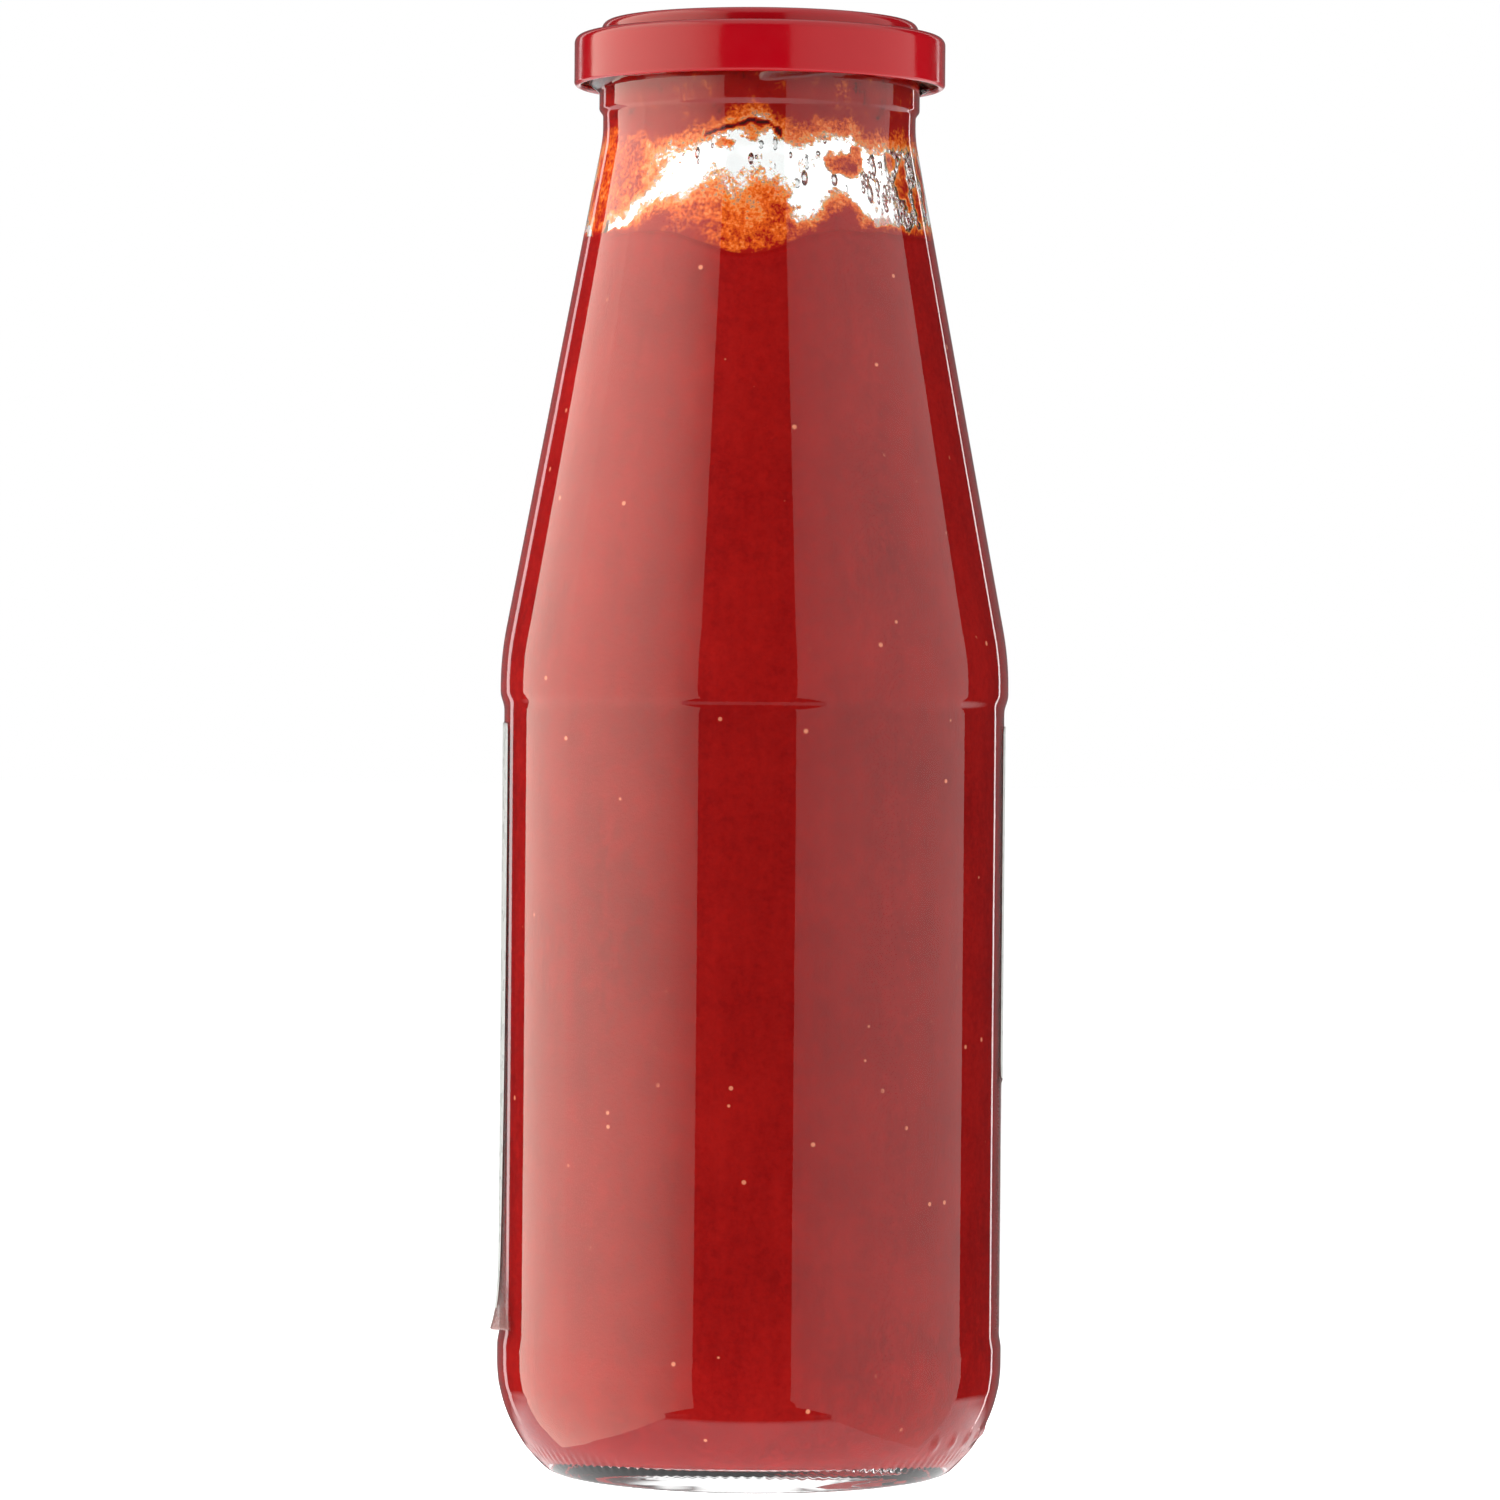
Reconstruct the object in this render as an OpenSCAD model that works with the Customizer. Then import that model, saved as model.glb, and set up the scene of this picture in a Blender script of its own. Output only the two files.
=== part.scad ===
// Passata bottle: a 720 ml clear glass bottle with a 53 mm twist-off lid, filled with passata.
// The origin is the centre of the bearing ring, +Z runs up the bottle's axis and the label's
// middle faces +Y. Millimetres.

/* [Body] */
// Diameter of the recessed panel that the label sits on
panel_d = 77.5; // [70:0.5:90]
// How far the heel bead stands out of the panel
heel_bead_h = 0.3; // [0.1:0.1:1]
// How far the shoulder bead stands out of the panel
shoulder_bead_h = 0.6; // [0.2:0.1:1.5]
// Height of the middle of the heel bead
heel_bead_z = 17; // [15:0.5:22]
// Width of the heel bead
heel_bead_w = 4.4; // [2:0.1:6]
// Height of the panel
panel_h = 95.7; // [60:0.1:120]
// Height from the panel's upper edge to the middle of the shoulder bead
shoulder_rise = 3.9; // [2:0.1:6]
// Height of the cone, from the middle of the shoulder bead to the neck
cone_h = 86.5; // [60:0.1:110]
// Radius of the bend from the shoulder bead into the cone
shoulder_bend = 48; // [20:1:60]

/* [Foot] */
// Radius of the rounded heel
heel_r = 22; // [14:1:26]
// Radius of the two roundings beside the bearing ring
bearing_round = 2.5; // [1:0.1:3.5]
// Width of the flat bearing ring
bearing_w = 2; // [1:0.5:4]
// Height of the push-up in the middle of the foot
push_up = 4.5; // [3:0.5:7]

/* [Neck and finish] */
// Radius of the bend from the cone into the neck
neck_bend = 18; // [6:1:30]
// Diameter of the wall that carries the threads
finish_d = 49.6; // [40:0.1:60]
// How far the neck lies in from that wall
neck_in = 0.6; // [0.3:0.1:1]
// Height of the step between the neck and the finish, above the end of the cone
finish_step = 2.4; // [1.5:0.1:4]
// How far the sealing lip lies in from that wall
lip_in = 0.8; // [0.4:0.1:1]
// Height of the finish, from its step to the top of the lip
finish_h = 13.55; // [11:0.05:18]
// Number of thread starts, and of lugs on the lid
thread_count = 4; // [3:1:6]
// Angle that each thread start spans
thread_span = 64; // [50:1:70]
// Slope of a thread start
thread_slope = 7.5; // [3:0.5:9]
// Radius of a thread's rounded section
thread_r = 1.1; // [0.6:0.1:1.4]
// How far a thread stands out of the finish
thread_h = 1.75; // [1:0.05:2]
// Where the middle of the first thread lies around the bottle
thread_at = 36; // [0:1:89]

/* [Glass] */
// Thickness of the body wall
wall = 2.5; // [1.8:0.1:3.5]
// Radius of the rounded edge of the inner floor
floor_edge_r = 12; // [8:0.5:16]
// Height of the lowest place of the inner floor
floor_z = 5; // [4.5:0.1:8]
// Height of the middle of the inner floor
floor_top = 7.8; // [7.5:0.1:12]

/* [Passata] */
// Height of the headspace between the passata and the top of the lip
headspace = 32.75; // [25:0.25:70]
// Gap between the passata and the glass
fill_gap = 0.15; // [0.1:0.05:0.3]

/* [Lid] */
// Gap between the threads and the inside of the skirt
skirt_gap = 1.9; // [1:0.1:3]
// Thickness of the lid's steel
lid_sheet = 0.25; // [0.2:0.05:0.4]
// Height of the lid's raised ring above its shoulder
lid_rise = 2.2; // [1.6:0.1:2.6]
// Whole height of the lid
lid_h = 10.1; // [8.4:0.1:12]
// Radius of the lid's outer corners
lid_corner = 1.3; // [0.8:0.1:1.3]
// Gap between the sealing lip and the raised ring around it
lid_gap = 0.25; // [0.1:0.05:0.5]
// Width of the raised ring's flat channel, which the lip seals against
channel_w = 3.6; // [3.2:0.1:5]
// How far the centre panel lies below the raised ring
panel_drop = 0.9; // [0.4:0.1:1.5]
// Radius of the safety button in the centre panel
button_r = 11; // [6:0.5:15]
// Height of the safety button
button_h = 0.4; // [0.2:0.1:0.6]
// Radius of the curl at the bottom of the skirt
curl_r = 0.6; // [0.4:0.05:0.8]
// Gap between a lug and the wall that carries the threads
lug_wall_gap = 1; // [0.5:0.1:1.3]
// Gap between a lug and the thread over it
lug_gap = 0.2; // [0.1:0.05:0.6]
// Angle that each lug spans
lug_span = 16; // [8:1:18]
// Angle from the middle of a thread to the middle of its lug
lug_at = 14; // [10:1:20]

/* [Label] */
// Height from the panel's lower edge to the label
label_inset_low = 0.8; // [0.2:0.1:20]
// Height from the label to the panel's upper edge
label_inset_high = 1.9; // [0.2:0.1:20]
// Thickness of the label
label_t = 0.15; // [0.1:0.05:0.3]
// Gap between the label and the glass
label_gap = 0.05; // [0.02:0.01:0.1]
// Angle that the label wraps
label_wrap = 205; // [90:1:330]
// Angle from +Y to the middle of the label
label_turn = 1.5; // [-20:0.5:20]

/* [Hidden] */
$fn = 64;

// Number of straight steps in a large and in a small rounding
big_steps = 16;
small_steps = 6;

// Radii
panel_r = panel_d / 2;
inner_r = panel_r - wall;
heel_out = panel_r + heel_bead_h;
shoulder_out = panel_r + shoulder_bead_h;
finish_r = finish_d / 2;
neck_r = finish_r - neck_in;
bore_r = neck_r - wall;
lip_r = finish_r - lip_in;
thread_out = finish_r + thread_h;
lid_r = thread_out + skirt_gap + lid_sheet;
ring_r = lip_r + lid_gap + lid_sheet;

// Heights from the foot up
bead_ease = 2.5;
panel_bottom = heel_bead_z + heel_bead_w / 2 + bead_ease;
panel_top = panel_bottom + panel_h;
shoulder_z = panel_top + shoulder_rise;
neck_z = shoulder_z + cone_h;
finish_z = neck_z + finish_step;
lip_top = finish_z + finish_h;
fill_z = lip_top - headspace;
lid_top = lip_top + lid_sheet;
lid_bottom = lid_top - lid_h;
lid_shoulder = lid_top - lid_rise;
lug_top = lid_bottom + 2 * curl_r;

// The lip narrows below the lid's shoulder, and the threads pass just over the lugs
lip_ease = 1;
lip_round = 0.9;
lip_start = lid_shoulder - 1.8 - lip_ease;
thread_path_r = thread_out - thread_r;
thread_z = lug_top + lug_gap + thread_r
    - thread_path_r * sin(lug_at - lug_span / 2) * sin(thread_slope);

// Points of an arc from one angle to another, both ends included
function arc(r, z, radius, from, to, steps) =
    [for (i = [0:steps]) let (a = from + (to - from) * i / steps)
        [r + radius * cos(a), z + radius * sin(a)]];

// Points of a smooth step from one point to another, level with the axis at both ends
function ease(from, to) =
    [for (i = [0:small_steps]) let (t = i / small_steps)
        [from[0] + (to[0] - from[0]) * (1 - cos(180 * t)) / 2, from[1] + (to[1] - from[1]) * t]];

// Radius of a dome about the axis that rises to top and meets an arc of a radius about [r, z]
function dome_radius(r, z, radius, top) =
    (r * r + (z - top) * (z - top) - radius * radius) / (2 * (radius - z + top));

// Angle on that arc at which the dome meets it
function dome_angle(r, z, radius, top) =
    let (dome = dome_radius(r, z, radius, top)) -90 - asin(r / (dome + radius));

// The dome from the axis to that arc, and the arc up to the angle to
function domed(r, z, radius, top, to) =
    let (dome = dome_radius(r, z, radius, top), meet = dome_angle(r, z, radius, top))
    concat(
        arc(0, top - dome, dome, 90, meet + 180, small_steps),
        [for (p = arc(r, z, radius, meet, to, big_steps)) if (p[0] > 0) p]
    );

// Lean of the straight cone that leaves a bend around one centre and joins one around another
function cone_lean(low, low_r, high, high_r) =
    let (d = high - low) asin((low_r + high_r) / norm(d)) - atan2(d[0], d[1]);

// The outline of the glass from the lower to the upper bend of its cone
function coned(low, low_r, high, high_r) =
    let (lean = cone_lean(low, low_r, high, high_r))
    concat(
        arc(low[0], low[1], low_r, 0, lean, small_steps),
        arc(high[0], high[1], high_r, 180 + lean, 180, small_steps)
    );

// The heel's arc, the rounding between it and the bearing ring, and the ring's edges
heel_centre = [heel_out - heel_r, heel_bead_z];
bearing_out = heel_centre[0]
    + sqrt(pow(heel_r - bearing_round, 2) - pow(heel_bead_z - bearing_round, 2));
bearing_in = bearing_out - bearing_w;
heel_meet = atan2(bearing_round - heel_centre[1], bearing_out - heel_centre[0]);

// Outside of the glass, from the middle of the foot to the finish
outside = concat(
    domed(bearing_in, bearing_round, bearing_round, push_up, -90),
    arc(bearing_out, bearing_round, bearing_round, -90, heel_meet, small_steps),
    arc(heel_centre[0], heel_centre[1], heel_r, heel_meet, 0, big_steps),
    ease([heel_out, heel_bead_z + heel_bead_w / 2], [panel_r, panel_bottom]),
    ease([panel_r, panel_top], [shoulder_out, shoulder_z - 1]),
    coned([shoulder_out - shoulder_bend, shoulder_z], shoulder_bend,
        [neck_r + neck_bend, neck_z], neck_bend),
    ease([neck_r, finish_z - 1], [finish_r, finish_z + 0.2])
);

// The finish above its threads, over the lip and down to the mouth
lip = concat(
    ease([finish_r, lip_start], [lip_r, lip_start + lip_ease]),
    arc(lip_r - lip_round, lip_top - lip_round, lip_round, 0, 90, small_steps),
    arc(bore_r + lip_round, lip_top - lip_round, lip_round, 90, 180, small_steps)
);

// Centres of the round edge of the floor and of the bends at both ends of the inner cone
floor_edge = [inner_r - floor_edge_r, floor_z + floor_edge_r];
inner_low = [inner_r - shoulder_bend, shoulder_z - 2];
inner_high = [bore_r + neck_bend, neck_z];

// Inside of the glass, from the middle of the floor to the mouth, moved in by a gap
function inside(gap) = concat(
    domed(floor_edge[0], floor_edge[1], floor_edge_r - gap, floor_top + gap, 0),
    coned(inner_low, shoulder_bend - gap, inner_high, neck_bend + gap)
);

function reversed(points) = [for (i = [len(points) - 1:-1:0]) points[i]];

// Radius of the inner cone at a height, moved in by a gap
inner_lean = cone_lean(inner_low, shoulder_bend, inner_high, neck_bend);
function cone_r(z, gap) =
    inner_low[0] + (shoulder_bend - gap) / cos(inner_lean) - (z - inner_low[1]) * tan(inner_lean);

// The passata's underside and side, which end where the surface cuts the cone
fill_edge = [cone_r(fill_z, fill_gap), fill_z];
fill_outline = concat(
    [for (p = inside(fill_gap)) if (p[1] < fill_z - 1) p],
    [fill_edge, [0, fill_z]]
);

// Inner edge of the lid's channel, and the width of the slopes around its panel and button
channel_in = ring_r - lid_corner - channel_w;
slope_w = 1;

// The lid's upper face from its middle to the curl, moved in by a depth of sheet
function lid_face(depth) =
    let (
        top = lid_top - depth,
        corner = lid_corner - depth,
        cove = 0.3 + depth,
        button = top - panel_drop + button_h
    )
    concat(
        [[0, button], [button_r - depth, button]],
        [[button_r + slope_w - depth, top - panel_drop]],
        [[channel_in - slope_w + depth, top - panel_drop]],
        [[channel_in + depth, top]],
        arc(ring_r - lid_corner, lid_top - lid_corner, corner, 90, 0, small_steps),
        arc(ring_r + 0.3, lid_shoulder + 0.3, cove, 180, 270, small_steps),
        arc(lid_r - lid_corner, lid_shoulder - lid_corner, corner, 90, 0, small_steps)
    );

curl_centre = [lid_r - curl_r, lid_bottom + curl_r];
lid_outline = concat(
    lid_face(0),
    arc(curl_centre[0], curl_centre[1], curl_r, 0, -250, big_steps),
    [[lid_r - lid_sheet, lug_top + lid_sheet]],
    reversed(lid_face(lid_sheet))
);

module thread_start() {
    rotate([thread_slope, 0, 0])
        rotate([0, 0, -thread_span / 2])
            rotate_extrude(angle = thread_span)
                translate([thread_path_r, 0])
                    circle(r = thread_r);
}

module bottle() {
    color("lightcyan", 0.4)
        union() {
            rotate_extrude()
                polygon(concat(outside, lip, reversed(inside(0))));
            for (i = [0:thread_count - 1])
                rotate([0, 0, thread_at + i * 360 / thread_count])
                    translate([0, 0, thread_z])
                        thread_start();
        }
}

module lug() {
    lug_in = finish_r + lug_wall_gap;
    rotate([0, 0, -lug_span / 2])
        rotate_extrude(angle = lug_span)
            translate([lug_in, lid_bottom + 0.1])
                square([curl_centre[0] - lug_in, lug_top - lid_bottom - 0.1]);
}

module lid() {
    color("crimson")
        union() {
            rotate_extrude()
                polygon(lid_outline);
            for (i = [0:thread_count - 1])
                rotate([0, 0, thread_at + lug_at + i * 360 / thread_count])
                    lug();
        }
}

module passata() {
    color("firebrick")
        rotate_extrude()
            polygon(fill_outline);
}

module label() {
    color("white")
        rotate([0, 0, 90 + label_turn - label_wrap / 2])
            rotate_extrude(angle = label_wrap)
                translate([panel_r + label_gap, panel_bottom + label_inset_low])
                    square([label_t, panel_h - label_inset_low - label_inset_high]);
}

bottle();
lid();
passata();
label();
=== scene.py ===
"""The looks of a passata bottle: clear glass, tomato passata with its smears and drops, a red
twist-off lid and a clear film label with a white print.

Everything is in metres, with +Z up the bottle. The camera looks along +Y at the bare glass,
and the label's middle faces +Y. Angles around the bottle are in degrees from +X, and "facing"
angles are in degrees from the camera's side, positive to its right.
"""

import math
import random

import bpy
from mathutils import Euler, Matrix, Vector, noise


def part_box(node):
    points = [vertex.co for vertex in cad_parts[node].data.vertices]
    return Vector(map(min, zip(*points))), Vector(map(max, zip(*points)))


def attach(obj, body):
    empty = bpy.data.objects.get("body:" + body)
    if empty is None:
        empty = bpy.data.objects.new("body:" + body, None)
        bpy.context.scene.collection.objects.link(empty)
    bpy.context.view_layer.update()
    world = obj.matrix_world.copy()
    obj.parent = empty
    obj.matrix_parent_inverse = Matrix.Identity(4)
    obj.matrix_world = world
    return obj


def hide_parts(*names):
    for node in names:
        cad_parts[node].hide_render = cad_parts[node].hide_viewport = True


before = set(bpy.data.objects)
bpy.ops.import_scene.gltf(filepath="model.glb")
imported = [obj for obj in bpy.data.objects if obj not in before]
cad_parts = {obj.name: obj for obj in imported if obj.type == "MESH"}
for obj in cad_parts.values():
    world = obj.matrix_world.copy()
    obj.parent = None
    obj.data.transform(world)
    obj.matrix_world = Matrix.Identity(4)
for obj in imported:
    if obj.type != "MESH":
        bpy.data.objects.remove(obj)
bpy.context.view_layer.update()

MM = 0.001
CAMERA_SIDE = 270.0  # the angle around the bottle that faces the camera

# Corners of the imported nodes
bottle_high = Vector(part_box("bottle")[1])
lid_low, lid_high = (Vector(c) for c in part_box("lid"))
passata_high = Vector(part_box("passata")[1])
label_low, label_high = (Vector(c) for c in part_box("label"))

# Sizes of the glass, as in the construction
LIP_TOP = bottle_high.z
SHOULDER_OUT = bottle_high.x
PANEL_R = SHOULDER_OUT - 0.6 * MM
HEEL_OUT = PANEL_R + 0.3 * MM
WALL = 2.5 * MM
INNER_R = PANEL_R - WALL
FINISH_R = 24.8 * MM
NECK_R = FINISH_R - 0.6 * MM
BORE_R = NECK_R - WALL
LIP_R = FINISH_R - 0.8 * MM
LIP_ROUND = 0.9 * MM
LIP_START = LIP_TOP - 4.75 * MM
FINISH_Z = LIP_TOP - 13.55 * MM
NECK_Z = FINISH_Z - 2.4 * MM
SHOULDER_Z = NECK_Z - 86.5 * MM
PANEL_TOP = SHOULDER_Z - 3.9 * MM
PANEL_BOTTOM = PANEL_TOP - 95.7 * MM
HEEL_Z = 17.0 * MM
HEEL_BEAD_TOP = HEEL_Z + 2.2 * MM
HEEL_R = 22.0 * MM
BEARING_ROUND = 2.5 * MM
BEARING_W = 2.0 * MM
PUSH_UP = 4.5 * MM
FLOOR_EDGE_R = 12.0 * MM
FLOOR_Z = 5.0 * MM
FLOOR_TOP = 7.8 * MM
SHOULDER_BEND = 48.0 * MM
NECK_BEND = 18.0 * MM
THREADS = 4
THREAD_AT = 36.0
THREAD_SPAN = 64.0
THREAD_SLOPE = 7.5
THREAD_H = 1.75 * MM
THREAD_R = 1.1 * MM
THREAD_Z = lid_low.z + 2.05 * MM
THREADED_TO = LIP_TOP - 4.7 * MM
THREAD_FADE = 4.0  # degrees past each end in which a thread sinks into the wall
LUG_AT = 14.0
LUG_SPAN = 16.0
LUG_REACH = 2.2 * MM


# ---------------------------------------------------------------- outlines


def arc(r, z, radius, start, end, steps):
    """Points of an arc about (r, z) from one angle to another, both ends included."""
    angles = [math.radians(start + (end - start) * i / steps) for i in range(steps + 1)]
    return [(r + radius * math.cos(a), z + radius * math.sin(a)) for a in angles]


def ease(start, end, steps):
    """Points of a smooth step, level with the axis at both ends."""
    points = []
    for i in range(steps + 1):
        t = i / steps
        bend = (1 - math.cos(math.pi * t)) / 2
        points.append((start[0] + (end[0] - start[0]) * bend, start[1] + (end[1] - start[1]) * t))
    return points


def ease_across(start, end, steps):
    """Points of a smooth step that is level across at both ends."""
    return [(r, z) for z, r in ease((start[1], start[0]), (end[1], end[0]), steps)]


def run(start, end, steps):
    """Points of a straight line, without its ends."""
    return [
        (start[0] + (end[0] - start[0]) * i / steps, start[1] + (end[1] - start[1]) * i / steps)
        for i in range(1, steps)
    ]


def domed(r, z, radius, top, end, dome_steps, arc_steps):
    """A dome from the axis down to an arc about (r, z), and the arc up to the angle end."""
    dome = (r * r + (z - top) ** 2 - radius * radius) / (2 * (radius - z + top))
    meet = -90 - math.degrees(math.asin(r / (dome + radius)))
    rise = arc(0, top - dome, dome, 90, meet + 180, dome_steps)
    return rise[:-1] + arc(r, z, radius, meet, end, arc_steps)


def cone_lean(low, low_r, high, high_r):
    """Lean of the cone that leaves a bend about low and joins a bend about high, in degrees."""
    d = Vector(high) - Vector(low)
    return math.degrees(math.asin((low_r + high_r) / d.length) - math.atan2(d.x, d.y))


def coned(low, low_r, high, high_r, steps, cone_steps):
    """The lower bend, the straight cone and the upper bend of the bottle's shoulder."""
    lean = cone_lean(low, low_r, high, high_r)
    lower = arc(*low, low_r, 0, lean, steps)
    upper = arc(*high, high_r, 180 + lean, 180, steps)
    return lower + run(lower[-1], upper[0], cone_steps) + upper


def glass_outside():
    """From the middle of the push-up round the heel and up to the mouth."""
    heel_r, heel_z = HEEL_OUT - HEEL_R, HEEL_Z
    bearing_out = heel_r + math.sqrt((HEEL_R - BEARING_ROUND) ** 2 - (heel_z - BEARING_ROUND) ** 2)
    bearing_in = bearing_out - BEARING_W
    meet = math.degrees(math.atan2(BEARING_ROUND - heel_z, bearing_out - heel_r))
    finish = (FINISH_R, FINISH_Z + 0.2 * MM)
    return [
        *domed(bearing_in, BEARING_ROUND, BEARING_ROUND, PUSH_UP, -90, 8, 4),
        *arc(bearing_out, BEARING_ROUND, BEARING_ROUND, -90, meet, 5)[:-1],
        *arc(heel_r, heel_z, HEEL_R, meet, 0, 30),
        *ease((HEEL_OUT, HEEL_BEAD_TOP), (PANEL_R, PANEL_BOTTOM), 6),
        *run((PANEL_R, PANEL_BOTTOM), (PANEL_R, PANEL_TOP), 5),
        *ease((PANEL_R, PANEL_TOP), (SHOULDER_OUT, SHOULDER_Z - 1 * MM), 7),
        *coned(
            (SHOULDER_OUT - SHOULDER_BEND, SHOULDER_Z),
            SHOULDER_BEND,
            (NECK_R + NECK_BEND, NECK_Z),
            NECK_BEND,
            7,
            5,
        ),
        *ease((NECK_R, FINISH_Z - 1 * MM), finish, 5),
        *run(finish, (FINISH_R, LIP_START), 26),
        *ease((FINISH_R, LIP_START), (LIP_R, LIP_START + 1 * MM), 4),
        *arc(LIP_R - LIP_ROUND, LIP_TOP - LIP_ROUND, LIP_ROUND, 0, 90, 5),
        *arc(BORE_R + LIP_ROUND, LIP_TOP - LIP_ROUND, LIP_ROUND, 90, 180, 5),
    ]


def glass_inside(gap, steps=6):
    """From the middle of the floor up to the mouth, moved into the bottle by gap."""
    return [
        *domed(
            INNER_R - FLOOR_EDGE_R,
            FLOOR_Z + FLOOR_EDGE_R,
            FLOOR_EDGE_R - gap,
            FLOOR_TOP + gap,
            0,
            steps,
            2 * steps,
        ),
        *coned(
            (INNER_R - SHOULDER_BEND, SHOULDER_Z - 2 * MM),
            SHOULDER_BEND - gap,
            (BORE_R + NECK_BEND, NECK_Z),
            NECK_BEND + gap,
            steps,
            steps,
        ),
    ]


INSIDE = glass_inside(0.0, 12)


def inner_radius(z):
    """Radius of the inside of the glass at a height above the floor's edge."""
    for (r0, z0), (r1, z1) in zip(INSIDE, INSIDE[1:]):
        if z0 <= z < z1 and z0 > FLOOR_Z + FLOOR_EDGE_R / 2:
            return r0 + (r1 - r0) * (z - z0) / (z1 - z0)
    return BORE_R if z >= NECK_Z else INNER_R


# ---------------------------------------------------------------- meshes


def add_mesh(name, vertices, faces, material, smooth=True):
    mesh = bpy.data.meshes.new(name)
    mesh.from_pydata(vertices, [], faces)
    mesh.validate()
    mesh.polygons.foreach_set("use_smooth", [smooth] * len(mesh.polygons))
    mesh.update()
    piece = bpy.data.objects.new(name, mesh)
    bpy.context.scene.collection.objects.link(piece)
    for each in material if isinstance(material, list) else [material]:
        mesh.materials.append(each)
    return piece


def lathe(name, outline, material, segments, shift=None):
    """Turns an outline whose ends lie on the axis. shift(angle, r, z, normal) gives (dr, dz)."""
    vertices = [(0, 0, outline[0][1]), (0, 0, outline[-1][1])]
    ring_starts = []
    inner = outline[1:-1]
    for i, (r, z) in enumerate(inner, start=1):
        before, after = outline[i - 1], outline[i + 1]
        along = Vector((after[0] - before[0], after[1] - before[1])).normalized()
        normal = Vector((along.y, -along.x))
        ring_starts.append(len(vertices))
        for k in range(segments):
            angle = 360.0 * k / segments
            dr, dz = shift(angle, r, z, normal) if shift else (0.0, 0.0)
            a = math.radians(angle)
            vertices.append(((r + dr) * math.cos(a), (r + dr) * math.sin(a), z + dz))
    faces = []
    for k in range(segments):
        n = (k + 1) % segments
        faces.append((0, ring_starts[0] + n, ring_starts[0] + k))
        for a, b in zip(ring_starts, ring_starts[1:]):
            faces.append((a + k, a + n, b + n, b + k))
        faces.append((1, ring_starts[-1] + k, ring_starts[-1] + n))
    return add_mesh(name, vertices, faces, material)


def polar(r, angle, z):
    """The point at an angle in degrees around the bottle."""
    a = math.radians(angle)
    return (r * math.cos(a), r * math.sin(a), z)


def facing(angle):
    """Degrees from the camera's side, from -180 to 180, positive to the camera's right."""
    return (angle - CAMERA_SIDE + 180.0) % 360.0 - 180.0


def grid_cut(field, us, vs, wrap):
    """The cells of a grid where field(u, v) > 0, cut along its edge.

    Gives points (u, v, value), faces, and the edges of the cut as pairs of points."""
    values = [[field(u, v) for v in vs] for u in us]
    points, index, faces, rim = [], {}, [], []

    def corner(i, j):
        key = (i, j)
        if key not in index:
            index[key] = len(points)
            points.append((us[i], vs[j], values[i][j]))
        return index[key]

    def crossing(a, b):
        key = (min(a, b), max(a, b))
        if key not in index:
            (i0, j0), (i1, j1) = key
            f0, f1 = values[i0][j0], values[i1][j1]
            t = f0 / (f0 - f1)
            # The last column's neighbour is the first one, so its end lies a whole turn back
            u1 = us[i1] - (360.0 if wrap and i1 - i0 > 1 else 0.0)
            index[key] = len(points)
            points.append((us[i0] + (u1 - us[i0]) * t, vs[j0] + (vs[j1] - vs[j0]) * t, 0.0))
        return index[key]

    columns = len(us) if wrap else len(us) - 1
    for i in range(columns):
        n = (i + 1) % len(us)
        for j in range(len(vs) - 1):
            ring = [(i, j), (n, j), (n, j + 1), (i, j + 1)]
            inside = [values[a][b] > 0 for a, b in ring]
            if not any(inside):
                continue
            face, cut = [], []
            for k in range(4):
                here, there = ring[k], ring[(k + 1) % 4]
                if inside[k]:
                    face.append(corner(*here))
                if inside[k] != inside[(k + 1) % 4]:
                    face.append(crossing(here, there))
                    cut.append((len(face) - 1, inside[k]))
            faces.append(face)
            for place, leaving in cut:
                if leaving:
                    rim.append((face[place], face[(place + 1) % len(face)]))
            if j == 0 and inside[0] and inside[1]:
                rim.append((corner(i, j), corner(n, j)))
            if j == len(vs) - 2 and inside[2] and inside[3]:
                rim.append((corner(n, j + 1), corner(i, j + 1)))
            if not wrap and i == 0 and inside[3] and inside[0]:
                rim.append((corner(i, j + 1), corner(i, j)))
            if not wrap and n == len(us) - 1 and inside[1] and inside[2]:
                rim.append((corner(n, j), corner(n, j + 1)))
    return points, faces, rim


def skin(name, cut, outer, inner, material):
    """A closed thin piece over the cells of a cut grid, between two placings of its points."""
    points, cells, rim = cut
    count = len(points)
    vertices = [outer(*p) for p in points] + [inner(*p) for p in points]
    faces = [tuple(face) for face in cells]
    faces += [tuple(count + i for i in reversed(face)) for face in cells]
    faces += [(b, a, count + a, count + b) for a, b in rim]
    return add_mesh(name, vertices, faces, material)


def steps(low, high, step):
    """Evenly spaced values from low to high, about a step apart."""
    count = max(2, round((high - low) / step) + 1)
    return [low + (high - low) * i / (count - 1) for i in range(count)]


def fbm(point, octaves=4):
    """Layered noise from about -1 to 1."""
    return noise.fractal(Vector(point), 1.0, 2.0, octaves)


def waver(point, start):
    """Noise as a vector, from three places far apart, so that it is the same each run."""
    values = []
    for i in range(3):
        far = Vector((start + 31.7 * i, 17.3 * i, 5.1))
        values.append(noise.noise(Vector(point) + far))
    return Vector(values)


# ---------------------------------------------------------------- materials


def range_node(tree, source, low, high, to_low, to_high, smooth):
    """Maps a socket's values from one range to another."""
    made = tree.nodes.new("ShaderNodeMapRange")
    made.interpolation_type = "SMOOTHSTEP" if smooth else "LINEAR"
    tree.links.new(source, made.inputs["Value"])
    made.inputs["From Min"].default_value = low
    made.inputs["From Max"].default_value = high
    made.inputs["To Min"].default_value = to_low
    made.inputs["To Max"].default_value = to_high
    return made.outputs["Result"]


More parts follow.
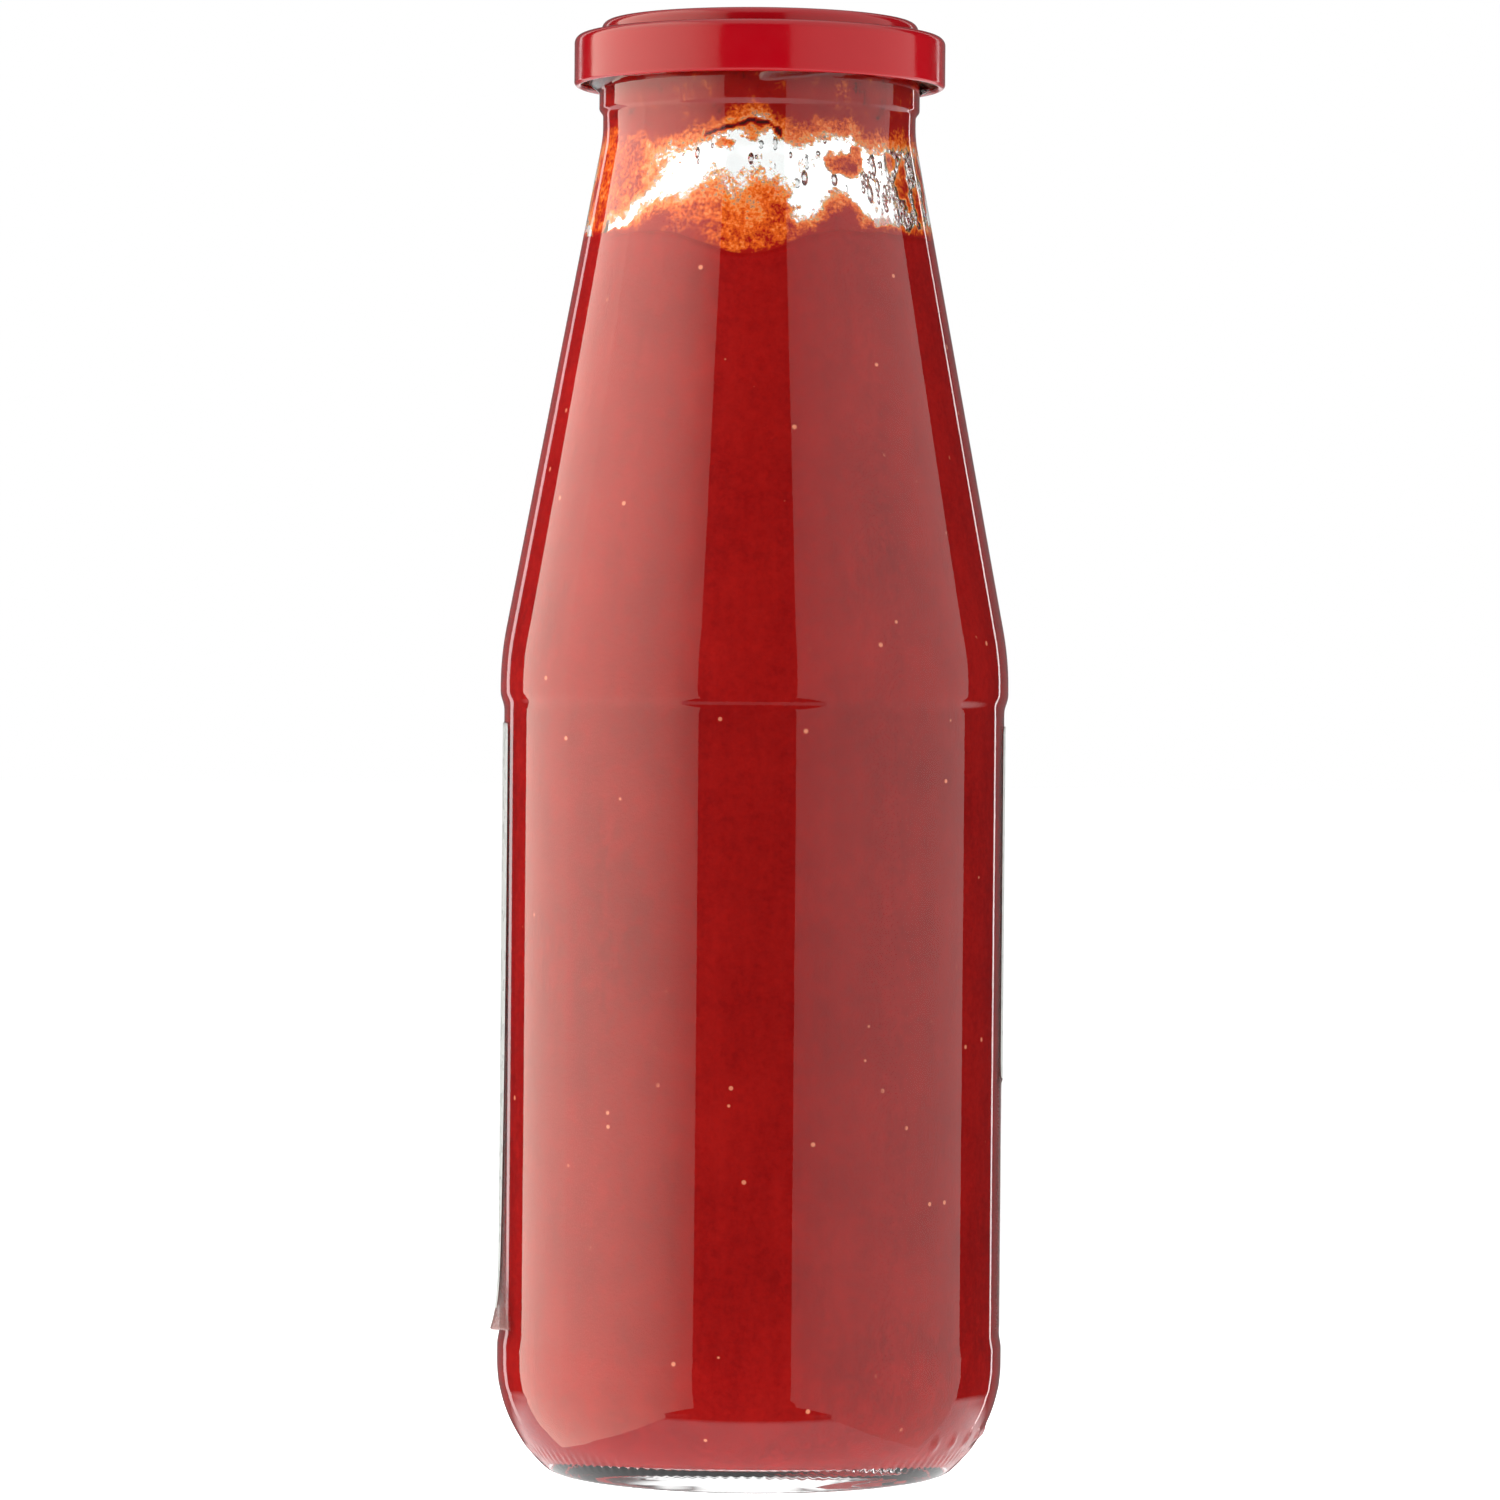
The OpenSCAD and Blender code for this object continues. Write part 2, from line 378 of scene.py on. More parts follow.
def feed(tree, values, sockets):
    """Sets each socket to its number or colour, or links it where the value is a socket."""
    for value, socket in zip(values, sockets):
        if isinstance(value, tuple):
            socket.default_value = (*value, 1.0)
        elif isinstance(value, (int, float)):
            socket.default_value = value
        else:
            tree.links.new(value, socket)


def maths_node(tree, operation, first, second):
    made = tree.nodes.new("ShaderNodeMath")
    made.operation = operation
    feed(tree, (first, second), made.inputs[:2])
    return made.outputs["Value"]


class Nodes:
    """A material's node tree, built with short calls."""

    def __init__(self, name):
        self.material = bpy.data.materials.new(name)
        self.material.use_nodes = True
        self.tree = self.material.node_tree
        self.shader = self.tree.nodes["Principled BSDF"]
        self.place = self.node("ShaderNodeTexCoord").outputs["Object"]

    def node(self, kind, **settings):
        made = self.tree.nodes.new(kind)
        for key, value in settings.items():
            setattr(made, key, value)
        return made

    def link(self, source, target):
        self.tree.links.new(source, target)

    def set(self, **values):
        for key, value in values.items():
            self.shader.inputs[key.replace("_", " ")].default_value = value

    def noise(self, scale, detail=3.0, rough=0.5, vector=None):
        made = self.node("ShaderNodeTexNoise")
        made.inputs["Scale"].default_value = scale
        made.inputs["Detail"].default_value = detail
        made.inputs["Roughness"].default_value = rough
        self.link(vector or self.place, made.inputs["Vector"])
        return made.outputs["Fac"]

    def cells(self, scale, feature="F1"):
        made = self.node("ShaderNodeTexVoronoi", feature=feature)
        made.inputs["Scale"].default_value = scale
        self.link(self.place, made.inputs["Vector"])
        return made.outputs["Distance"]

    def range(self, source, low, high, to_low=0.0, to_high=1.0, smooth=False):
        return range_node(self.tree, source, low, high, to_low, to_high, smooth)

    def mix(self, factor, first, second):
        made = self.node("ShaderNodeMix", data_type="RGBA")
        self.link(factor, made.inputs["Factor"])
        feed(self.tree, (first, second), (made.inputs["A"], made.inputs["B"]))
        return made.outputs["Result"]

    def maths(self, operation, first, second=0.0):
        return maths_node(self.tree, operation, first, second)

    def product(self, *values):
        """All the values multiplied, from the first on."""
        result = values[0]
        for value in values[1:]:
            result = self.maths("MULTIPLY", result, value)
        return result

    def near(self, source, middle, full, none):
        """1 up to the distance full from a middle value, and 0 from the distance none."""
        off = self.maths("ABSOLUTE", self.maths("SUBTRACT", source, middle))
        return self.maths("SUBTRACT", 1.0, self.range(off, full, none))

    def split_place(self):
        """The place's three sockets, X, Y and Z."""
        split = self.node("ShaderNodeSeparateXYZ")
        self.link(self.place, split.inputs["Vector"])
        return split.outputs["X"], split.outputs["Y"], split.outputs["Z"]

    def attribute(self, name):
        return self.node("ShaderNodeAttribute", attribute_name=name).outputs["Fac"]

    def stretched(self, x, y, z):
        made = self.node("ShaderNodeVectorMath", operation="MULTIPLY")
        made.inputs[1].default_value = (x, y, z)
        self.link(self.place, made.inputs[0])
        return made.outputs["Vector"]

    def bump(self, height, distance, strength=1.0):
        made = self.node("ShaderNodeBump")
        made.inputs["Distance"].default_value = distance
        made.inputs["Strength"].default_value = strength
        self.link(height, made.inputs["Height"])
        self.link(made.outputs["Normal"], self.shader.inputs["Normal"])


def glass_material():
    m = Nodes("clear_glass")
    m.set(Base_Color=(0.97, 0.985, 0.98, 1), Transmission_Weight=1.0, IOR=1.52)
    handled = m.noise(90.0, 5.0, 0.65)
    m.link(m.range(handled, 0.45, 0.75, 0.0, 0.035), m.shader.inputs["Roughness"])
    m.bump(m.noise(35.0, 2.0), 0.00004, 0.6)
    return m.material


PULP_DEEP = (0.248, 0.0021, 0.0021)
PULP_PALE = (0.350, 0.0060, 0.0045)
PULP_BROWN = (0.165, 0.0015, 0.0014)
PULP_SPECK = (0.72, 0.24, 0.13)
DRIED_X = -0.0195  # middle of the front's left side, where most pulp has dried
DRIED_Z = 0.089
DRIED_SHARE = 0.36


def passata_material():
    """Cloudy pulp with dried patches and pale specks, as it shows through the glass."""
    m = Nodes("passata")
    cloudy = m.noise(70.0, 5.0, 0.7)
    grain = m.noise(900.0, 3.0, 0.8)
    drag = m.noise(1.0, 4.0, 0.7, m.stretched(300.0, 300.0, 45.0))
    mottle = m.maths("ADD", m.product(cloudy, 0.35), m.product(grain, 0.40))
    mottle = m.maths("ADD", mottle, m.product(drag, 0.25))
    pulp = m.mix(m.range(mottle, 0.40, 0.60), PULP_DEEP, PULP_PALE)
    # Brown patches, ragged and grainy, where the pulp has dried against the glass, most of all
    # along the front's left side
    x, y, z = m.split_place()
    side = m.near(x, DRIED_X, 0.003, 0.009)
    tall = m.near(z, DRIED_Z, 0.010, 0.035)
    front = m.range(y, 0.0, -0.01)
    here = m.product(side, tall, front)
    patchy = m.maths("ADD", m.noise(24.0, 3.0, 0.5), m.product(here, 0.13))
    where = m.range(patchy, 0.54, 0.62)
    torn = m.range(m.noise(1.0, 5.0, 0.9, m.stretched(420.0, 420.0, 240.0)), 0.49, 0.53)
    pulp = m.mix(m.product(where, torn, DRIED_SHARE), pulp, PULP_BROWN)
    speck = m.range(m.cells(230.0), 0.07, 0.09, 1.0, 0.0)
    rare = m.range(m.noise(160.0, 1.0), 0.53, 0.58)
    flecked = m.mix(m.product(speck, rare), pulp, PULP_SPECK)
    m.link(flecked, m.shader.inputs["Base Color"])
    m.link(m.range(grain, 0.3, 0.7, 0.28, 0.45), m.shader.inputs["Roughness"])
    m.set(Specular_IOR_Level=0.03)
    m.bump(grain, 0.0001, 0.35)
    return m.material


# Colours of the film on the glass by its depth, from thin to thick, and last the near-black painted
# shade along its rim
SMEAR_TONES = [
    (0.05, (0.88, 0.66, 0.48)),
    (0.26, (0.86, 0.34, 0.095)),
    (0.52, (0.76, 0.14, 0.012)),
    (0.90, (0.37, 0.010, 0.006)),
    (1.12, (0.335, 0.0065, 0.005)),
    # painted shade: the near-black tone along the film's rim over the gap
    (1.30, (0.05, 0.008, 0.008)),
]


def smear_material():
    """Passata that clings to the glass: deep where it is thick, and grains of pulp where thin."""
    m = Nodes("passata_film")
    depth = m.attribute("depth")
    grain = m.noise(1900.0, 2.0, 0.6)
    coarse = m.noise(700.0, 3.0, 0.6)
    mixed = m.maths("ADD", m.product(grain, 0.6), m.product(coarse, 0.4))
    rough = m.product(m.maths("SUBTRACT", mixed, 0.5), 2.2)
    middling = m.range(depth, 0.75, 1.0, 1.0, 0.25)
    grainy = m.maths("ADD", depth, m.product(rough, middling))
    # The ramp's last stop is the near-black painted shade along the rim
    ramp = m.node("ShaderNodeValToRGB")
    low, high = SMEAR_TONES[0][0], SMEAR_TONES[-1][0]
    m.link(m.range(grainy, low, high), ramp.inputs["Fac"])
    stops = ramp.color_ramp.elements
    while len(stops) < len(SMEAR_TONES):
        stops.new(0.5)
    # All the places come first, because moving a stop can change the order of the stops
    for stop, (at, _) in zip(stops, SMEAR_TONES):
        stop.position = (at - low) / (high - low)
    for stop, (_, tone) in zip(stops, SMEAR_TONES):
        stop.color = (*tone, 1.0)
    m.link(ramp.outputs["Color"], m.shader.inputs["Base Color"])
    m.link(m.range(grainy, 0.02, 0.30), m.shader.inputs["Alpha"])
    m.set(Subsurface_Weight=0.7, Subsurface_Radius=(1.0, 0.28, 0.06), Subsurface_Scale=0.0008)
    m.set(Specular_IOR_Level=0.03)
    m.link(m.range(grain, 0.3, 0.7, 0.22, 0.42), m.shader.inputs["Roughness"])
    m.bump(grain, 0.00012, 0.4)
    return m.material


LACQUER_DEEP = (0.46, 0.0004, 0.0066)
LACQUER_BRIGHT = (0.51, 0.0008, 0.0080)


def lid_material():
    """Glossy red lacquer with a faint orange-peel surface."""
    m = Nodes("red_lacquer")
    peel = m.noise(420.0, 2.0, 0.5)
    cloudy = m.range(m.noise(60.0, 3.0), 0.3, 0.7)
    m.link(m.mix(cloudy, LACQUER_DEEP, LACQUER_BRIGHT), m.shader.inputs["Base Color"])
    m.link(m.range(m.noise(150.0, 4.0, 0.6), 0.35, 0.75, 0.10, 0.20), m.shader.inputs["Roughness"])
    m.set(IOR=1.5)
    m.bump(peel, 0.00003, 0.5)
    return m.material


def lacquer_material():
    m = Nodes("inner_lacquer")
    tone = m.mix(m.range(m.noise(80.0, 3.0), 0.3, 0.7), (0.62, 0.58, 0.50), (0.72, 0.68, 0.60))
    m.link(tone, m.shader.inputs["Base Color"])
    m.link(m.range(m.noise(200.0), 0.3, 0.7, 0.25, 0.4), m.shader.inputs["Roughness"])
    return m.material


def drop_material():
    m = Nodes("water_drop")
    m.set(Transmission_Weight=1.0, IOR=1.33)
    m.link(m.range(m.noise(500.0), 0.4, 0.8, 0.0, 0.05), m.shader.inputs["Roughness"])
    return m.material


FILM_FLAT = (0.42, 0.25, 0.23)
# painted reflection and shade: the redder tone of the film where it lifts off the glass
FILM_LIFTED_REFLECTION_AND_SHADE = (0.42, 0.17, 0.15)


def film_material():
    """Clear label film, a little hazy, and more so where it lifts off the glass; there its colour
    turns redder, a painted reflection of the red passata and painted shade under the lifted corner.
    """
    m = Nodes("label_film")
    m.set(IOR=1.5)
    lift = m.attribute("lift")
    # Where the film lifts, its colour is painted redder: red light reflected from the passata, and
    # shade under the lifted corner
    m.link(m.mix(lift, FILM_FLAT, FILM_LIFTED_REFLECTION_AND_SHADE), m.shader.inputs["Base Color"])
    haze = m.range(m.noise(120.0, 4.0, 0.6), 0.3, 0.7, 0.08, 0.18)
    m.link(m.maths("ADD", haze, m.range(lift, 0.0, 0.6, 0.0, 0.6)), m.shader.inputs["Alpha"])
    m.link(m.range(m.noise(300.0), 0.3, 0.7, 0.18, 0.32), m.shader.inputs["Roughness"])
    m.bump(m.noise(60.0, 2.0), 0.0001, 0.4)
    return m.material


PRINT_WHITE = (0.70, 0.72, 0.69)
PRINT_RED = (0.36, 0.008, 0.008)
PRINT_GREEN = (0.03, 0.13, 0.04)
PRINT_CREAM = (0.70, 0.60, 0.38)
# Discs of the three tomato shapes: across, height above the label's middle, and radius
FRUIT = ((-0.009, -0.012, 0.0095), (0.009, -0.013, 0.0085), (0.0005, -0.004, 0.008))
LEAVES = ((-0.009, -0.0035, 0.0022), (0.009, -0.0055, 0.002), (0.0005, 0.0035, 0.0019))


def print_material():
    """White print with plain fields of colour around its middle, which faces +Y."""
    m = Nodes("label_print")
    across, behind, height = m.split_place()
    back = m.range(behind, 0.0, 0.0004)
    middle = (label_low.z + label_high.z) / 2

    def band(value, low, high):
        edge = 0.00008
        above = m.range(value, low - edge, low + edge)
        below = m.range(value, high - edge, high + edge, 1.0, 0.0)
        return m.product(above, below)

    def disc(x, z, radius):
        dx = m.maths("SUBTRACT", across, x)
        dz = m.maths("SUBTRACT", height, z)
        square = m.maths("ADD", m.product(dx, dx), m.product(dz, dz))
        return m.range(m.maths("SQRT", square), radius - 0.0001, radius + 0.0001, 1.0, 0.0)

    panel = m.product(band(across, -0.026, 0.026), back)

    def field(low, high):
        """A part of the panel between two heights about its middle."""
        return m.product(panel, band(height, middle + low, middle + high))

    tone = m.mix(field(-0.038, 0.038), PRINT_WHITE, PRINT_CREAM)
    tone = m.mix(field(0.012, 0.034), tone, PRINT_RED)
    tone = m.mix(field(-0.036, -0.031), tone, PRINT_GREEN)
    for discs, colour in ((FRUIT, PRINT_RED), (LEAVES, PRINT_GREEN)):
        for x, z, radius in discs:
            tone = m.mix(m.product(disc(x, middle + z, radius), back), tone, colour)
    m.link(tone, m.shader.inputs["Base Color"])
    m.link(m.range(m.noise(260.0, 3.0), 0.3, 0.7, 0.22, 0.36), m.shader.inputs["Roughness"])
    m.bump(m.noise(70.0, 2.0), 0.0001, 0.3)
    return m.material


# ---------------------------------------------------------------- the glass

GLASS_SEGMENTS = 512
DASHES = 128  # short raised bars round the foot
DASH_Z = 3.8 * MM
SEAM = CAMERA_SIDE - 46.0
# Height, rise and width of the fine mould lines round the heel and the neck
MOULD_LINES = (
    (13.5 * MM, 0.05 * MM, 0.35 * MM),
    (NECK_Z + 0.6 * MM, 0.04 * MM, 0.3 * MM),
)


def heel_dots():
    """Facing angle, height, radius and rise of the small moulded dots on the heel."""
    faint = [(16.0 + 6.4 * i, 6.0 * MM, 0.6 * MM, 0.025 * MM) for i in range(4)]
    bold = [(51.0 + 7.6 * i, 6.6 * MM, 0.75 * MM, 0.34 * MM) for i in range(5)]
    return faint + bold


DOTS = heel_dots()


def bell(distance, width):
    """1 at no distance, falling smoothly to almost 0 at twice the width."""
    return math.exp(-((distance / width) ** 2))


def thread_rise(angle, z):
    """How far the threads stand out at a place on the finish."""
    rise = 0.0
    for start in range(THREADS):
        off = (angle - THREAD_AT - start * 360.0 / THREADS + 180.0) % 360.0 - 180.0
        if abs(off) > THREAD_SPAN / 2 + THREAD_FADE:
            continue
        along = FINISH_R * math.sin(math.radians(off))
        middle = THREAD_Z + along * math.tan(math.radians(THREAD_SLOPE))
        across = (z - middle) / (THREAD_R * 1.25)
        if abs(across) < 1:
            end = min(1.0, (THREAD_SPAN / 2 + THREAD_FADE - abs(off)) / 6.0)
            rise = max(rise, THREAD_H * math.cos(across * math.pi / 2) ** 1.3 * end**0.5)
    return rise


def glass_shift(angle, r, z, normal):
    """Mould marks and slight unevenness of the outside of the glass."""
    push = 0.0
    if normal.x > 0:
        if FINISH_Z < z < THREADED_TO:
            return thread_rise(angle, z), 0.0
        if 8 * MM < z < NECK_Z:
            x, y, _ = polar(r, angle, z)
            push += 0.018 * MM * fbm((x * 45, y * 45, z * 22), 2)
        push += 0.07 * MM * math.cos(math.radians(angle * DASHES)) * bell(z - DASH_Z, 0.8 * MM)
        if 3 * MM < z < 10 * MM:
            for dot, height, size, rise in DOTS:
                along = math.radians(facing(angle) - dot) * r
                if abs(along) < 3 * size:
                    push += rise * bell(along, size) * bell(z - height, size * 1.2)
        for height, rise, width in MOULD_LINES:
            push += rise * bell(z - height, width)
        if z > 14 * MM:
            for seam in (SEAM, SEAM + 180.0):
                along = math.radians((angle - seam + 180.0) % 360.0 - 180.0) * r
                if abs(along) < 1 * MM:
                    push += 0.035 * MM * bell(along, 0.25 * MM)
    return normal.x * push, normal.y * push


def make_glass():
    outline = glass_outside() + list(reversed(glass_inside(0.0)))
    cleaned = [outline[0]]
    for point in outline[1:]:
        if math.dist(point, cleaned[-1]) > 1e-6:
            cleaned.append(point)
    piece = lathe("bottle_glass", cleaned, glass_material(), GLASS_SEGMENTS, glass_shift)
    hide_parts("bottle")
    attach(piece, "root")
    return piece


# ---------------------------------------------------------------- the passata

FILL_Z = passata_high.z
REACH = 0.3 * MM  # how far the passata reaches into the wall
# A device for the looks: the passata stays just clear of the thick base, so that the glass there
# mirrors and shows the bright band of the photo
FLOOR_GAP = 0.1 * MM
FLOOR_GAP_R = INNER_R - FLOOR_EDGE_R + 3.1 * MM
FLOOR_REACH_Z = FLOOR_Z + 5 * MM
RIM_DEPTH = 9 * MM  # the part of the side that follows the uneven surface
RIM_STEPS = 12
FACE_STEPS = 36
PASSATA_SEGMENTS = 240


def surface_z(angle, r):
    """Height of the uneven surface of the passata, which dips behind the middle smear."""
    x, y, _ = polar(r, angle, 0.0)
    lumps = 0.7 * MM * fbm((x * 90, y * 90, 3.7), 3)
    dip = 3.6 * MM * bell(facing(angle) + 4.0, 17.0) * min(1.0, r / BORE_R) ** 2
    return FILL_Z - 1.0 * MM + 0.9 * MM * math.tanh(lumps / (0.9 * MM)) - dip


def make_passata():
    clear, sunk = glass_inside(FLOOR_GAP, 10), glass_inside(-REACH, 10)
    floor = [(r, z) for r, z in clear if z < FLOOR_REACH_Z and r < FLOOR_GAP_R]
    wall = [(r, z) for r, z in sunk if r > FLOOR_GAP_R and z < FILL_Z - RIM_DEPTH]
    side = floor + wall
    foot_z = side[-1][1]
    heights = [foot_z + (FILL_Z - foot_z) * i / RIM_STEPS for i in range(1, RIM_STEPS + 1)]
    rim = [(inner_radius(z) + REACH, z) for z in heights]
    top_r = rim[-1][0]
    face = [(top_r * (1 - i / FACE_STEPS), FILL_Z) for i in range(1, FACE_STEPS + 1)]
    outline = side + rim + face

    def shift(angle, r, z, normal):
        if z > foot_z + 1e-6 and r > top_r - 1e-9:
            drop = surface_z(angle, top_r) - FILL_Z
            dz = drop * (z - foot_z) / (FILL_Z - foot_z)
            return inner_radius(z + dz) + REACH - r, dz
        if z > foot_z + 1e-6:
            return 0.0, surface_z(angle, r) - z
        return 0.0, 0.0

    piece = lathe("passata_fill", outline, passata_material(), PASSATA_SEGMENTS, shift)
    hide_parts("passata")
    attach(piece, "root")
    return piece


# ---------------------------------------------------------------- smears, drops

# Edges of the smears on the inside of the neck, as facing angle and height in millimetres
COAT_EDGE = [
    (-180, 211.0), (-130, 210.5), (-100, 202.0), (-60, 202.0), (-49, 202.2), (-39, 200.9),
    (-28, 201.6), (-19, 203.4), (-10, 205.2), (-2, 206.4), (8, 203.8), (15, 203.0), (27, 203.9),
    (35, 203.2), (45, 202.2), (63, 202.6), (90, 202.0), (130, 210.5), (180, 211.0),
]  # fmt: skip
FILL_EDGE = [
    (-180, 193.0), (-150, 195.0), (-120, 192.5), (-90, 191.0), (-66, 190.0), (-53, 191.3),
    (-43, 194.4), (-35, 195.8), (-27, 196.6), (-20, 198.6), (-16, 199.5), (-8.5, 198.2),
    (0, 199.8), (6, 199.3), (11, 197.6), (14.5, 192.4), (18, 193.2), (23, 195.2), (28.5, 196.5),
    (35, 195.2), (38.5, 193.2), (45, 192.1), (60, 191.6), (90, 192.4), (125, 195.0), (150, 192.5),
    (180, 193.0),
]  # fmt: skip
# The smear at the left side: its lower edge, and where it starts and ends
APRON_EDGE = [(-92, 197.0), (-84, 192.0), (-70, 190.1), (-56, 192.0), (-46, 194.6), (-38, 196.5)]
APRON = (-90.0, -36.0)
WAVER_START = 83.0
DEGREES = 57.3  # in a radian
# The curved rim over the middle of the gap: a real thick edge of film, with its near-black colour
# painted as shade
PAINTED_SHADE_RIM = [(-21, 204.9), (-12, 205.9), (-2, 207.0), (5, 206.2), (9, 204.6)]
# Facing angle, height, half width, half height and strength of single patches
PATCHES = [
    (33.0, 200.5, 3.4, 2.2, 0.95),
    (37.5, 201.6, 2.2, 1.6, 0.8),
    (-12.5, 203.1, 1.5, 1.2, 0.30),
    (-2.5, 205.2, 2.3, 1.5, 0.42),
    (-33.0, 203.0, 2.6, 1.0, 0.45),
    (64.0, 198.0, 1.3, 4.8, 0.8),
    (74.0, 195.0, 1.2, 3.6, 0.8),
    (57.0, 200.8, 1.3, 2.6, 0.7),
    (83.0, 198.5, 1.6, 5.0, 0.9),
    (-83.0, 197.0, 1.5, 4.4, 0.9),
]


def between(points, x):
    """Height at x on the smooth line through points."""
    if x <= points[0][0]:
        return points[0][1]
    for (x0, y0), (x1, y1) in zip(points, points[1:]):
        if x <= x1:
            t = (x - x0) / (x1 - x0)
            return y0 + (y1 - y0) * t * t * (3 - 2 * t)
    return points[-1][1]


def line_distance(points, face, height, r):
    """Distance in millimetres from a place on the wall to a line of facing angles and heights."""
    best = math.inf
    per_degree = math.radians(r)
    for (f0, z0), (f1, z1) in zip(points, points[1:]):
        along = Vector(((f1 - f0) * per_degree, z1 - z0))
        here = Vector(((face - f0) * per_degree, height - z0))
        t = min(1.0, max(0.0, here.dot(along) / along.length_squared))
        best = min(best, (here - along * t).length)
    return best


def smear_field(angle, z):
    """Above 0 where passata clings to the glass, up to 1 where it is thick, and more at its rim, where
    the near-black tone is painted shade.
    """
    r = inner_radius(z) / MM
    x, y, height = polar(r, angle, z / MM)
    broad = waver((x * 0.22, y * 0.22, height * 0.22), WAVER_START)
    small = waver((x * 0.8, y * 0.8, height * 0.8), WAVER_START + 9.0)
    face = facing(angle) + (1.6 * broad.x + 0.8 * small.x) * DEGREES / r
    height += 1.3 * broad.y + 0.75 * small.y
    blotchy = fbm((x * 0.35, y * 0.35, height * 0.35), 4)
    coat = (height - between(COAT_EDGE, face)) / 4.6
    centre = bell(face + 4.0, 17.0)
    fill = (between(FILL_EDGE, face) - height) / (4.0 + 8.0 * centre)
    fill = min(fill, 1.0 - 0.45 * centre)
    best = max(min(coat, 1.0), fill)
    if APRON[0] < face < APRON[1]:
        inset = min(face - APRON[0], APRON[1] - face) / 16.0
        best = max(best, min(inset, (height - between(APRON_EDGE, face)) / 3.0, 0.75))
    for at, middle, wide, high, strength in PATCHES:
        if abs(face - at) < 25:
            along = math.radians(face - at) * r
            near = 1.0 - math.hypot(along / wide, (height - middle) / high)
            best = max(best, strength * min(1.0, 2.2 * near))
    value = best + 0.24 * blotchy * min(1.0, abs(best) * 3 + 0.25)
    above = (z - surface_z(angle, inner_radius(z))) / MM + 0.6 * small.z
    if value > 0.05:
        value = max(value, 1.0 - above / (3.2 - 1.6 * centre))
    value = min(value, above / 1.2 + 1.7)
    # Along the rim the value goes past 1 and picks the near-black tone: painted shade along the film's
    # thick edge
    if PAINTED_SHADE_RIM[0][0] < facing(angle) < PAINTED_SHADE_RIM[-1][0]:
        off = line_distance(PAINTED_SHADE_RIM, facing(angle), z / MM + 0.5 * small.y, r)
        rim = 1.0 - off / (0.5 + 0.35 * small.x)
        if rim > 0:
            value = max(value, 1.35 * min(1.0, 2 * rim))
    return value


def film_depth(value):
    """Thickness of the film for a value of the field."""
    return (0.10 + 0.50 * min(1.0, max(0.0, value)) ** 0.7) * MM


def make_smears(material):
    angles = [i * 0.9 for i in range(400)]
    heights = steps(FILL_Z - 5 * MM, LIP_TOP - 0.9 * MM, 0.34 * MM)
    cut = grid_cut(smear_field, angles, heights, True)

    def outer(angle, z, value):
        return polar(inner_radius(z) + 0.12 * MM, angle, z)

    def inner(angle, z, value):
        return polar(inner_radius(z) - film_depth(value) * min(1.0, value * 8 + 0.02), angle, z)

    piece = skin("passata_film", cut, outer, inner, material)
    # Values above 1 do not mean a thicker film: they pick the near-black tone painted as shade along
    # the rim
    depth = piece.data.attributes.new("depth", "FLOAT", "POINT")
    values = [min(1.5, max(0.0, p[2])) for p in cut[0]]
    depth.data.foreach_set("value", values + values)
    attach(piece, "root")
    return piece


DROP_BULGE = 0.55
DROP_SUNK = 0.03 * MM


def cap(radius, bulge, rings=4, around=10):
    """A low closed dome of a drop: its points (side, up, out) and faces."""
    points = [(0.0, 0.0, bulge)]
    for i in range(1, rings + 1):
        t = i / rings
        for k in range(around):
            a = 2 * math.pi * k / around
            side, up = radius * t * math.cos(a), radius * t * math.sin(a)
            points.append((side, up, bulge * math.sqrt(1 - t * t)))
    points.append((0.0, 0.0, -0.04 * MM))
    faces = [(0, 1 + k, 1 + (k + 1) % around) for k in range(around)]
    for i in range(rings - 1):
        a, b = 1 + i * around, 1 + (i + 1) * around
        faces += [(a + k, b + k, b + (k + 1) % around, a + (k + 1) % around) for k in range(around)]
    last = 1 + (rings - 1) * around
    faces += [(last + k, len(points) - 1, last + (k + 1) % around) for k in range(around)]
    return points, faces


def scatter_drops(name, places, material):
    """Joins drops at (angle, z, radius, stretch) on the inside of the glass into one piece."""
    vertices, faces = [], []
    for angle, z, radius, stretch in places:
        points, cells = cap(radius, radius * DROP_BULGE)
        start = len(vertices)
        wall = inner_radius(z)
        for side, up, out in points:
            at, high = angle + math.degrees(side / wall), z + up * stretch
            vertices.append(polar(inner_radius(high) + DROP_SUNK - out, at, high))
        faces += [tuple(start + i for i in face) for face in cells]
    piece = add_mesh(name, vertices, faces, material)
    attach(piece, "root")
    return piece


# Middle and spread of the facing angle, middle and spread of the height, and count of the drops
DROPS = [
    (69.0, 13.0, 198.0, 6.5, 520),
    (-80.0, 7.0, 198.0, 6.0, 150),
    (48.0, 8.0, 197.5, 4.0, 45),
    (30.0, 10.0, 205.5, 1.6, 40),
    (0.0, 34.0, 200.5, 2.5, 26),
    (180.0, 60.0, 200.0, 7.0, 30),
]


DROP_SEED = 7
RED_SHARE = 0.25


def make_drops(smear):
    """Clear and red drops on the bare glass of the neck, drawn in one fixed order."""
    rng = random.Random(DROP_SEED)
    clear, red = [], []
    for middle, spread, height, tall, count in DROPS:
        for _ in range(count):
            face = middle + rng.uniform(-spread, spread)
            z = (height + rng.uniform(-tall, tall)) * MM
            size = rng.uniform(0.14, 0.62) * MM
            stretch = rng.uniform(1.1, 2.6)
            colour = red if rng.random() < RED_SHARE else clear
            if smear_field(CAMERA_SIDE + face, z) < 0.12:
                colour.append((CAMERA_SIDE + face, z, size, stretch))
    scatter_drops("neck_drops", clear, drop_material())
    scatter_drops("passata_drops", red, smear)


# ---------------------------------------------------------------- the lid

